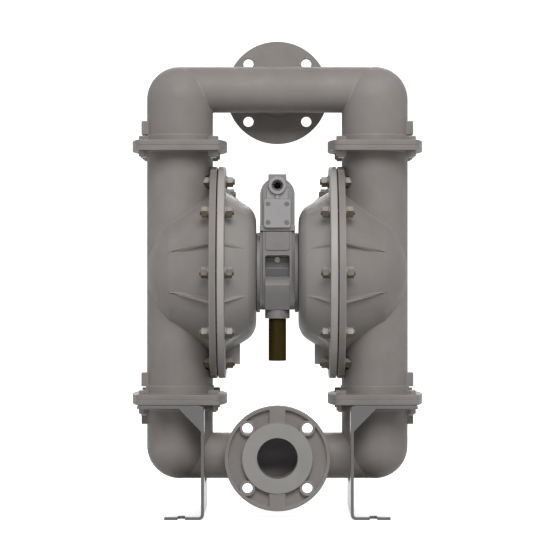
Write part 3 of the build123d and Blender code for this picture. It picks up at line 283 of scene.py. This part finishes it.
# Liquid chambers
# Each is one casting: an upright column with a ribbed bell on its side, a chamber ring turned on its face and
# rim, and a joint flange at each end. They carry the whole pump on the feet.
for node in ("left_liquid_chamber", "right_liquid_chamber"):
    softened(node, 0.0008, casting_skin, casting_edge_highlight)


# Upper valve seats, their seals and the balls
# The same seats, seals and balls as below, of hard plastic and rubber. They are clamped under the top manifold,
# whose fins guide these two balls.
dress(seat_plastic, "left_discharge_seat", "right_discharge_seat")
dress(seal_skin, "discharge_seat_gaskets")
dress(ball_rubber, "left_discharge_ball", "right_discharge_ball")


# Discharge manifold
# The top casting has the same two elbows and pipe, with cages for the balls inside. Its flange is at the back, and
# only the raised face of that is turned.
discharge_manifold = softened("discharge_manifold", 0.0012, casting_skin, casting_edge_highlight)
add_skin(discharge_manifold, turned_face("discharge_face", 0.7787), flat_at(back, port_face))


# Joint bolts and nuts
# Four plated hex bolts close each of the four manifold joints, heads up, with chamfered nuts below.
# They are forged and rolled, so their corners are cut by a cone and their ends show the thread.
def plated_skin(name, pale, deep, underside_shade_colour, metallic):
    """Dull zinc plating, with painted shade: the faces that look down are painted darker and browner, for the dim light
    that reaches them from below.
    """
    finish, tree, shader, place = finish_start(name, metallic, 0.5, 0.22)
    tone = blended(tree, clouds(tree, place, 120.0, 0.0, 1.0), deep, pale)
    facing = tree.nodes.new("ShaderNodeSeparateXYZ")
    tree.links.new(tree.nodes.new("ShaderNodeNewGeometry").outputs["Normal"], facing.inputs["Vector"])
    # Painted shade: the colour turns darker and browner towards the faces that look down
    under = tree.nodes.new("ShaderNodeMapRange")
    under.inputs["From Min"].default_value = 0.35
    under.inputs["From Max"].default_value = -0.25
    tree.links.new(facing.outputs["Z"], under.inputs["Value"])
    painted_shade_amount = tree.nodes.new("ShaderNodeMath")
    painted_shade_amount.operation = "MULTIPLY"
    tree.links.new(under.outputs["Result"], painted_shade_amount.inputs[0])
    tree.links.new(clouds(tree, place, 45.0, 0.75, 1.0, 5.0), painted_shade_amount.inputs[1])
    painted_shade_tone = blended(tree, painted_shade_amount.outputs["Value"], tone, underside_shade_colour)
    tree.links.new(painted_shade_tone, shader.inputs["Base Color"])
    tree.links.new(clouds(tree, place, 300.0, 0.42, 0.58), shader.inputs["Roughness"])
    grain(tree, shader, place, 1500.0, 0.00004)
    return finish


def turned(name, profile, sides):
    """A turned piece along Z, extruded and widened step by step from its lowest ring."""
    radius, height = profile[0]
    bpy.ops.object.select_all(action="DESELECT")
    bpy.ops.mesh.primitive_circle_add(vertices=sides, radius=radius, fill_type="NGON", location=(0, 0, height))
    piece = bpy.context.active_object
    piece.name = name
    bpy.ops.object.transform_apply(location=True, rotation=True, scale=True)
    bpy.ops.object.mode_set(mode="EDIT")
    bpy.ops.mesh.select_all(action="SELECT")
    for next_radius, next_height in profile[1:]:
        bpy.ops.mesh.extrude_region_move(TRANSFORM_OT_translate={"value": (0, 0, next_height - height)})
        ratio = next_radius / radius
        if abs(ratio - 1) > 1e-6:
            bpy.ops.transform.resize(value=(ratio, ratio, 1), center_override=(0, 0, next_height))
        radius, height = next_radius, next_height
    bpy.ops.mesh.select_all(action="SELECT")
    bpy.ops.mesh.normals_make_consistent(inside=False)
    bpy.ops.object.mode_set(mode="OBJECT")
    return piece


def cut(piece, tool, how):
    """Cuts a piece with a tool, or to it, and takes the tool away."""
    pick(piece)
    joint = piece.modifiers.new("cut", "BOOLEAN")
    joint.operation = how
    joint.object = tool
    joint.solver = "EXACT"
    bpy.ops.object.modifier_apply(modifier=joint.name)
    bpy.data.objects.remove(tool)


def hexagon(name, height, bore=None, lower=True):
    """A hex nut or head that stands on Z = 0, its corners chamfered by a cone above, and below too for a nut."""
    across = 0.0180
    corner = across / 2 / cos(radians(30))
    bpy.ops.object.select_all(action="DESELECT")
    bpy.ops.mesh.primitive_cylinder_add(vertices=6, radius=corner, depth=height, location=(0, 0, height / 2))
    piece = bpy.context.active_object
    piece.name = name
    bpy.ops.object.transform_apply(location=True, rotation=True, scale=True)
    slope, past_corner, inside_flat, beyond = 0.0009, 0.0002, 0.0003, 0.0003
    outer = corner + past_corner
    end = across / 2 - inside_flat
    # The cone runs on past the flat ends, so that no face of it lies on one of theirs
    tip = end - beyond * (outer - end) / slope
    lowest = [(tip, -beyond), (outer, slope)] if lower else [(outer, -beyond)]
    cone = turned("cone", lowest + [(outer, height - slope), (tip, height + beyond)], 48)
    cut(piece, cone, "INTERSECT")
    if bore:
        cut(piece, turned("drill", [(bore, -0.001), (bore, height + 0.001)], 32), "DIFFERENCE")
    pick(piece)
    bpy.ops.object.shade_smooth_by_angle(angle=radians(28))
    return piece


shank_radius, thread_length, thread_pitch = 0.006, 0.0053, 0.00175
plain_from = 0.0055


def thread_end(top):
    """Outline of a shank's threaded end that points up, from its first ridge to its chamfer."""
    radius, length, pitch = shank_radius, thread_length, thread_pitch
    depth = 0.55 * pitch
    turns = int(length / pitch)
    outline = []
    for number in range(turns):
        height = top - length + number * pitch
        outline += [(radius - depth, height), (radius, height + 0.45 * pitch), (radius, height + 0.6 * pitch)]
    return outline + [(radius - depth, top - 0.1 * pitch), (radius - 1.3 * depth, top)]


def set_out(name, master, places, skin, slot, *nodes):
    """Copies a finished piece to its places, joins the copies and dresses them."""
    twins = []
    for place in places:
        twin = twin_of(name, master.data)
        twin.data.transform(place)
        twins.append(twin)
    pick(twins[0])
    for twin in twins:
        twin.select_set(True)
    bpy.ops.object.join()
    group = bpy.context.active_object
    group.name = name
    paint(group, skin)
    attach(group, "housing")
    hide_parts(*nodes)
    return group


plated_steel = plated_skin("plated_steel", (0.40, 0.39, 0.37), (0.30, 0.29, 0.27), (0.110, 0.072, 0.030), 0.1)
joint_steel = plated_skin("joint_steel", (0.40, 0.39, 0.378), (0.30, 0.29, 0.28), (0.19, 0.172, 0.158), 0.15)
column_x = 0.1786
corner_x, corner_y = 0.0630, 0.0640
nut_height = 0.0108
bolt_past = 0.0030
bolt_nut = hexagon("bolt_nut", nut_height, bore=0.0061)
bolt_head = hexagon("bolt_head", 0.0075, lower=False)
turn_over = Matrix.Rotation(pi, 4, "X")
corners = [(side * column_x + x * corner_x, y * corner_y, side * x)
           for side in (-1, 1) for x in (-1, 1) for y in (-1, 1)]
for kind, head_z, inner_nut_z, outer_nut_z in (
    ("discharge_joint", 0.6831, 0.6643, 0.6643),
    ("inlet_joint", 0.2231, 0.2043, 0.1988),
):
    heads = [Matrix.Translation((x, y, head_z)) for x, y, outer in corners]
    nuts = [Matrix.Translation((x, y, outer_nut_z if outer > 0 else inner_nut_z)) @ turn_over
            for x, y, outer in corners]
    set_out(kind + "_nuts_finished", bolt_nut, nuts, joint_steel, "plated_steel", kind + "_nuts")
    shanks = []
    for low_z in (inner_nut_z, outer_nut_z):
        length = head_z - (low_z - nut_height - bolt_past)
        shank = turned(kind + "_shank", [(shank_radius, -0.0005), (shank_radius, length - plain_from)]
                       + thread_end(length), 24)
        pick(shank)
        bpy.ops.object.shade_smooth_by_angle(angle=radians(20))
        shanks.append(shank)
    pieces = []
    for x, y, outer in corners:
        shank = shanks[1] if outer > 0 else shanks[0]
        twin = twin_of("shank", shank.data)
        twin.data.transform(Matrix.Translation((x, y, head_z)) @ turn_over)
        pieces.append(twin)
    group = set_out(kind + "_bolts_finished", bolt_head, heads, joint_steel, "plated_steel", kind + "_bolts")
    pick(group)
    for twin in pieces:
        twin.select_set(True)
    bpy.ops.object.join()
    for shank in shanks:
        bpy.data.objects.remove(shank)
bpy.data.objects.remove(bolt_head)


# Centre block
# The middle casting holds the shaft's bearings between two discs. It has a window with a ledge in front, the bulge
# of the exhaust under it and a boss for the muffler. It is blasted like the chambers, and finer.
block_skin = metal_skin("block_skin", (0.292, 0.283, 0.281), (0.252, 0.243, 0.241), (0.215, 0.18, 0.17),
                        0.55, 1100.0, 0.00007, 0.1, 0.22)
# Painted highlight: the rounded edges of the block are painted paler than its skin
block_edge_highlight = metal_skin("block_edge_highlight", (0.335, 0.326, 0.323), (0.29, 0.281, 0.278), (0.245, 0.215, 0.203),
                        0.5, 1100.0, 0.00005, 0.1, 0.22)


def round_crest(piece):
    """Rounds the crest of the exhaust bulge."""
    crest_y, crest_z, slack = -0.084, 0.4197, 0.0003
    mesh = piece.data
    pick(piece)
    bpy.ops.object.mode_set(mode="EDIT")
    bpy.ops.mesh.select_mode(type="EDGE")
    bpy.ops.mesh.select_all(action="DESELECT")
    bpy.ops.object.mode_set(mode="OBJECT")
    for edge in mesh.edges:
        ends = [mesh.vertices[number].co for number in edge.vertices]
        edge.select = all(abs(end.y - crest_y) < slack and abs(end.z - crest_z) < slack for end in ends)
    bpy.ops.object.mode_set(mode="EDIT")
    bpy.ops.transform.translate(value=(0, 0.003, -0.007))
    bpy.ops.mesh.bevel(offset=0.012, segments=8, affect="EDGES")
    bpy.ops.object.mode_set(mode="OBJECT")


center_block = softened("center_block", 0.0009, block_skin, block_edge_highlight, round_crest)
# Painted shade: the front face of the ledge in the window is painted dark grey, for the shadow that falls deep in the
# window
ledge_painted_shade = metal_skin("ledge_painted_shade", (0.135, 0.138, 0.148), (0.112, 0.115, 0.124), (0.10, 0.095, 0.09),
                        0.5, 1100.0, 0.00005, 0.1, 0.22)
ledge_depth = 0.044
add_skin(center_block, ledge_painted_shade, flat_at(front, ledge_depth))


# Bearings and seals of the shaft
# Two bronze bushings and two lip seals sit in the bores of the block, and a bronze sleeve over them guides the
# pilot rod. Flat seals close the block's discs.
bronze = plain_skin("bronze", (0.36, 0.235, 0.10), (0.28, 0.175, 0.07), 0.36, 0.5, 80.0, 900.0, 0.00003, 0.85)
dress(bronze, "shaft_bushings", "pilot_sleeve", "muffler_fitting")
dress(seal_skin, "shaft_seals", "air_chamber_gaskets")


# Shaft and pilot rod
# Both are ground steel bars that slide along the pump, the shaft in the block's two bushings and the thin pilot rod
# in the sleeve over them.
ground_steel = plain_skin("ground_steel", (0.58, 0.57, 0.56), (0.50, 0.49, 0.48), 0.24, 0.5, 60.0, 1600.0, 0.00001, 1.0)
dress(ground_steel, "diaphragm_shaft", "pilot_rod")


# Air chambers
# Each is a cone with nine thin ribs, cast in a brighter alloy than the rest, with its ring turned on its face and
# rim. Four countersunk screws inside hold it to the block.
air_skin = metal_skin("air_skin", (0.385, 0.372, 0.356), (0.335, 0.322, 0.307), (0.262, 0.232, 0.212),
                      0.52, 900.0, 0.00008, 0.1, 0.22)
# Painted highlight: the rounded edges of the air chambers are painted paler than their skin
air_edge_highlight = metal_skin("air_edge_highlight", (0.425, 0.412, 0.397), (0.375, 0.362, 0.347), (0.30, 0.272, 0.252),
                      0.48, 900.0, 0.00005, 0.1, 0.22)
turned_rim = plain_skin("turned_rim", (0.475, 0.455, 0.435), (0.43, 0.41, 0.39), 0.42, 0.25, 20.0, 1500.0, 0.00003)
shaft_z = 0.4437


def on_rim(face):
    """Tells whether a face looks outwards from the rim of a chamber ring."""
    rim_from, outwards = 0.1925, 0.9
    spoke = Vector((0, face.center.y, face.center.z - shaft_z))
    return spoke.length > rim_from and spoke.normalized().dot(face.normal) > outwards


for node in ("left_air_chamber", "right_air_chamber"):
    chamber = softened(node, 0.0008, air_skin, air_edge_highlight)
    add_skin(chamber, turned_rim, on_rim)
dress(plated_steel, "air_chamber_screws")


# Diaphragms and their plates
# A moulded rubber disc with one roll closes each liquid chamber. Its rim is clamped between the rings and its middle
# between a dished plate and a domed one of light alloy, so it bends with the shaft. Here each is cut into sectors.
plate_metal = plain_skin("plate_metal", (0.50, 0.50, 0.50), (0.43, 0.43, 0.43), 0.36, 0.5, 25.0, 1200.0, 0.00003, 0.8)
diaphragm_rubber = plain_skin("diaphragm_rubber", (0.05, 0.048, 0.046), (0.032, 0.031, 0.03), 0.6, 0.35, 30.0,
                              500.0, 0.00008)
dress(plate_metal, "left_inner_plate", "right_inner_plate", "left_outer_plate", "right_outer_plate")
sectors = 16
half_sector = pi / sectors


def sector(node, name, towards, across):
    """One sector of a diaphragm, cut out of a copy of it by two planes through the shaft's axis."""
    wedge = merged_copy(node, name)
    for turn in (1, -1):
        normal = cos(half_sector) * turn * across - sin(half_sector) * towards
        bpy.ops.mesh.select_all(action="SELECT")
        bpy.ops.mesh.bisect(plane_co=(0, 0, shaft_z), plane_no=normal, clear_outer=True, use_fill=True)
    bpy.ops.mesh.select_all(action="SELECT")
    bpy.ops.mesh.normals_make_consistent(inside=False)
    bpy.ops.object.mode_set(mode="OBJECT")
    bpy.ops.object.shade_smooth_by_angle(angle=radians(30))
    return wedge


for side, name in ((-1, "left"), (1, "right")):
    for number in range(sectors):
        angle = 2 * number * half_sector
        towards = Vector((0, sin(angle), cos(angle)))
        across = Vector((0, cos(angle), -sin(angle)))
        wedge = sector(name + "_diaphragm", f"{name}_diaphragm_sector_{number + 1:02d}", towards, across)
        paint(wedge, diaphragm_rubber)
        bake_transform(wedge)
        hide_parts(name + "_diaphragm")


# Chamber studs, washers and nuts
# Nine plated studs close each pair of rings, with a washer and a chamfered nut at both ends and the thread standing
# past the nut. Each nut has a corner outwards.
stud_count = 9
stud_circle = 0.1677
inner_seat, outer_seat = 0.0911, 0.1248
stud_length = outer_seat - inner_seat + 2 * (nut_height + bolt_past)
upper_end = thread_end(stud_length)
lower_end = [(radius, stud_length - height) for radius, height in reversed(upper_end)]
stud = turned("stud", lower_end + [(shank_radius, plain_from), (shank_radius, stud_length - plain_from)]
              + upper_end, 24)
pick(stud)
bpy.ops.object.shade_smooth_by_angle(angle=radians(20))
along_x = Matrix.Rotation(radians(90), 4, "Y")
for side, name in ((-1, "left"), (1, "right")):
    studs, nuts = [], []
    for number in range(stud_count):
        angle = radians(360 / stud_count * number)
        spot = Vector((0, -stud_circle * cos(angle), shaft_z + stud_circle * sin(angle)))
        outwards = Matrix.Rotation(-angle, 4, "X") @ Matrix.Rotation(radians(90), 4, "X")
        low = inner_seat - nut_height - bolt_past if side > 0 else -outer_seat - nut_height - bolt_past
        studs.append(Matrix.Translation(spot + Vector((low, 0, 0))) @ outwards @ along_x)
        for seat in (inner_seat - nut_height, outer_seat):
            start = seat if side > 0 else -seat - nut_height
            nuts.append(Matrix.Translation(spot + Vector((start, 0, 0))) @ outwards @ along_x)
    set_out(name + "_studs_finished", stud, studs, plated_steel, "plated_steel", name + "_chamber_studs")
    set_out(name + "_nuts_finished", bolt_nut, nuts, plated_steel, "plated_steel", name + "_chamber_nuts")
    softened(name + "_chamber_washers", 0.0003, plated_steel, plated_steel)
bpy.data.objects.remove(stud)
bpy.data.objects.remove(bolt_nut)


# Window plug
# A small plated socket screw closes the hole at the back of the block's window. Its key hole is hexagonal and its
# head is turned, with a small chamfer.
def socket_screw(name, head_radius, head_height, key):
    """A socket screw's head that stands on Z = 0, with a hex socket in its top."""
    edge = 0.12 * head_radius
    head = turned(name, [(head_radius - edge, 0), (head_radius, edge), (head_radius, head_height - edge),
                         (head_radius - edge, head_height)], 32)
    cut(head, turned("key", [(key, 0.4 * head_height), (key, head_height + 0.001)], 6), "DIFFERENCE")
    pick(head)
    bpy.ops.object.shade_smooth_by_angle(angle=radians(28))
    return head


towards_front = Matrix.Rotation(radians(90), 4, "X")
# Painted light: the plug's plating is paler than the other plated steel, to make up for the window's shade over its
# head
plug_painted_light = plain_skin("plug_painted_light", (0.56, 0.55, 0.54), (0.48, 0.47, 0.46), 0.4, 0.4, 200.0, 1500.0, 0.00002, 0.2)
plug = socket_screw("plug", 0.0055, 0.0040, 0.0026)
set_out("window_plug_finished", plug, [Matrix.Translation((0, -0.028, 0.4670)) @ towards_front], plug_painted_light,
        "plated_steel", "window_plug")
bpy.data.objects.remove(plug)


# Muffler
# A closed sleeve of sintered bronze hangs from a threaded fitting under the block. Oil and dust have turned it
# almost black, and its skin shows the grains.
muffler_skin, tree, shader, place = finish_start("muffler_skin", 0.0, 0.75, 0.12)
streak = tree.nodes.new("ShaderNodeMapping")
streak.inputs["Scale"].default_value = (60.0, 60.0, 6.0)
tree.links.new(place, streak.inputs["Vector"])
streaks = clouds(tree, streak.outputs["Vector"], 1.0, 0.0, 1.0)
tone = blended(tree, streaks, (0.012, 0.008, 0.002), (0.050, 0.035, 0.003))
tree.links.new(tone, shader.inputs["Base Color"])
grains = tree.nodes.new("ShaderNodeTexVoronoi")
grains.inputs["Scale"].default_value = 1100.0
tree.links.new(place, grains.inputs["Vector"])
bumps(tree, shader, grains.outputs["Distance"], 0.0004, 0.7).invert = True
softened("muffler_sleeve", 0.0015, muffler_skin, muffler_skin)


# Air valve
# The housing is an arch of the same alloy as the block, on a flat seal, with the threaded air inlet in its front.
# The sleeve and spool slide in it, and a plate with four socket screws closes each end.
valve_skin = metal_skin("valve_skin", (0.292, 0.289, 0.287), (0.256, 0.253, 0.251), (0.22, 0.20, 0.19),
                        0.5, 1100.0, 0.00007)
# Painted highlight: the rounded edges of the valve housing and covers are painted paler than their skin
valve_edge_highlight = metal_skin("valve_edge_highlight", (0.37, 0.367, 0.364), (0.325, 0.322, 0.32), (0.27, 0.255, 0.245),
                        0.42, 1100.0, 0.00004)
cover_skin = metal_skin("cover_skin", (0.385, 0.38, 0.382), (0.35, 0.345, 0.347), (0.30, 0.285, 0.28),
                        0.42, 1300.0, 0.00004)
sleeve_metal = plain_skin("sleeve_metal", (0.48, 0.48, 0.50), (0.42, 0.42, 0.44), 0.3, 0.5, 90.0, 1500.0, 0.00001, 0.9)
spool_plastic = plain_skin("spool_plastic", (0.10, 0.10, 0.105), (0.07, 0.07, 0.075), 0.4, 0.5, 90.0, 900.0, 0.00002)
dress(seal_skin, "valve_gasket", "valve_cover_gaskets")
dress(sleeve_metal, "valve_sleeve")
dress(spool_plastic, "valve_spool")
dress(plated_steel, "valve_mounting_screws")
valve_housing = softened("valve_housing", 0.0008, valve_skin, valve_edge_highlight)
for depth in (0.061, 0.065, 0.069):
    add_skin(valve_housing, cover_skin, flat_at(front, depth))
for node in ("front_valve_cover", "rear_valve_cover"):
    softened(node, 0.0007, cover_skin, valve_edge_highlight)
valve_z = 0.5190
spool_z = valve_z + 0.03175
screw_x, screw_rise, cover_face = 0.0168, 0.01675, 0.0615
cover_screw = socket_screw("cover_screw", 0.0035, 0.0037, 0.0017)
cover_places = []
for side in (-1, 1):
    facing = towards_front if side < 0 else Matrix.Rotation(pi, 4, "Z") @ towards_front
    for x in (-screw_x, screw_x):
        for rise in (-screw_rise, screw_rise):
            cover_places.append(Matrix.Translation((x, side * cover_face, spool_z + rise)) @ facing)
set_out("cover_screws_finished", cover_screw, cover_places, joint_steel, "plated_steel", "valve_cover_screws")
bpy.data.objects.remove(cover_screw)

# The thread cut in the air inlet
inlet_z = valve_z + 0.0822
crest, root, inlet_pitch = 0.0096, 0.0103, 0.0018
rod_outline = [(0.0095, -0.001)]
for number in range(10):
    height = number * inlet_pitch
    rod_outline += [(crest, height + 0.0002), (root, height + 0.0010), (root, height + 0.0012)]
rod_outline += [(crest, 0.0185), (crest, 0.0200)]
inlet_thread = turned("inlet_thread", [(0.01045, 0), (0.01045, 0.0180)], 40)
cut(inlet_thread, turned("tap", rod_outline, 40), "DIFFERENCE")
pick(inlet_thread)
inlet_thread.data.transform(Matrix.Translation((0, -0.0502, inlet_z)) @ towards_front)
bpy.ops.object.shade_smooth_by_angle(angle=radians(20))
inlet_thread.data.materials.append(valve_skin)
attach(inlet_thread, "housing")


# Floor and backdrop
# A plain white floor that turns up into a wall behind. It shows white to the eye and in gloss, keeps the pump's
# shadow, and throws back less light than it shows, as a deep studio does.
def shown_rays(tree):
    """One for the rays that the eye sees, straight, in gloss or through glass, and nothing for the rest."""
    ray = tree.nodes.new("ShaderNodeLightPath")
    seen = ray.outputs["Is Camera Ray"]
    for kind in ("Is Glossy Ray", "Is Transmission Ray"):
        either = tree.nodes.new("ShaderNodeMath")
        either.operation = "MAXIMUM"
        tree.links.new(seen, either.inputs[0])
        tree.links.new(ray.outputs[kind], either.inputs[1])
        seen = either.outputs["Value"]
    return seen


bpy.ops.object.select_all(action="DESELECT")
bpy.ops.mesh.primitive_plane_add(size=14, location=(0, 0, -0.0002))
floor = bpy.context.active_object
floor.name = "floor"
bpy.ops.object.transform_apply(location=True, rotation=True, scale=True)
bpy.ops.object.mode_set(mode="EDIT")
bpy.ops.mesh.select_mode(type="EDGE")
bpy.ops.mesh.select_all(action="DESELECT")
bpy.ops.object.mode_set(mode="OBJECT")
for edge in floor.data.edges:
    edge.select = all(floor.data.vertices[number].co.y > 6.9 for number in edge.vertices)
bpy.ops.object.mode_set(mode="EDIT")
bpy.ops.mesh.extrude_region_move(TRANSFORM_OT_translate={"value": (0, 0, 6)})
bpy.ops.object.mode_set(mode="OBJECT")
turn_up = floor.modifiers.new("turned up", "BEVEL")
turn_up.width = 1.5
turn_up.segments = 12
bpy.ops.object.modifier_apply(modifier=turn_up.name)
bpy.ops.object.shade_smooth_by_angle(angle=radians(30))
floor_white = bpy.data.materials.new("floor_white")
floor_white.use_nodes = True
tree = floor_white.node_tree
tree.nodes.remove(tree.nodes["Principled BSDF"])
shown = shown_rays(tree)
spot = tree.nodes.new("ShaderNodeVectorMath")
spot.operation = "LENGTH"
tree.links.new(tree.nodes.new("ShaderNodeTexCoord").outputs["Object"], spot.inputs[0])
away = tree.nodes.new("ShaderNodeMapRange")
away.inputs["From Min"].default_value = 0.5
away.inputs["From Max"].default_value = 2.0
away.inputs["To Min"].default_value = 0.75
away.inputs["To Max"].default_value = 1.0
tree.links.new(spot.outputs["Value"], away.inputs["Value"])
share = tree.nodes.new("ShaderNodeMath")
share.operation = "MULTIPLY"
tree.links.new(shown, share.inputs[0])
tree.links.new(away.outputs["Result"], share.inputs[1])
cloth = tree.nodes.new("ShaderNodeBsdfDiffuse")
tree.links.new(blended(tree, shown, (0.36, 0.36, 0.36), (0.95, 0.95, 0.95)), cloth.inputs["Color"])
glow = tree.nodes.new("ShaderNodeEmission")
both = tree.nodes.new("ShaderNodeAddShader")
tree.links.new(share.outputs["Value"], glow.inputs["Strength"])
tree.links.new(cloth.outputs["BSDF"], both.inputs[0])
tree.links.new(glow.outputs["Emission"], both.inputs[1])
tree.links.new(both.outputs["Shader"], tree.nodes["Material Output"].inputs["Surface"])
floor.data.materials.append(floor_white)


# Light
# A large soft lamp stands high in front, a little to the right, with a weak one on each side and one high behind.
# The white air of the room gives the rest.
world = bpy.data.worlds.new("room")
bpy.context.scene.world = world
world.use_nodes = True
tree = world.node_tree
room = tree.nodes["Background"]
tree.links.new(blended(tree, shown_rays(tree), (0.27, 0.27, 0.28), (1.0, 1.0, 1.0)), room.inputs["Color"])
for name, spot, size, power, tint in (
    ("key_lamp", (0.4, -4.3, 3.5), 2.6, 172.0, (1.0, 0.995, 0.985)),
    ("left_lamp", (-3.0, -0.6, 1.2), 1.6, 9.0, (1.0, 1.0, 1.0)),
    ("right_lamp", (3.0, -0.6, 1.2), 1.6, 9.0, (1.0, 1.0, 1.0)),
    ("back_lamp", (0.0, 4.2, 2.6), 2.4, 80.0, (1.0, 1.0, 1.0)),
):
    lamp_data = bpy.data.lights.new(name, "AREA")
    lamp_data.size = size
    lamp_data.energy = power
    lamp_data.color = tint
    lamp = bpy.data.objects.new(name, lamp_data)
    bpy.context.scene.collection.objects.link(lamp)
    lamp.location = spot
    lamp.rotation_euler = (Vector((0, 0, 0.42)) - Vector(spot)).to_track_quat("-Z", "Y").to_euler()


# Camera
# It stands square in front of the pump at half its height, with a long lens from nearly five metres, which gives the
# photograph's slight perspective.
camera_data = bpy.data.cameras.new("camera")
camera_data.sensor_width = 36.0
camera_data.lens = 169.6
camera = bpy.data.objects.new("camera", camera_data)
bpy.context.scene.collection.objects.link(camera)
camera.location = (-0.0025, -4.771, 0.4373)
camera.rotation_euler = (radians(90), 0, 0)
bpy.context.scene.camera = camera
bpy.context.scene.view_settings.view_transform = "Standard"
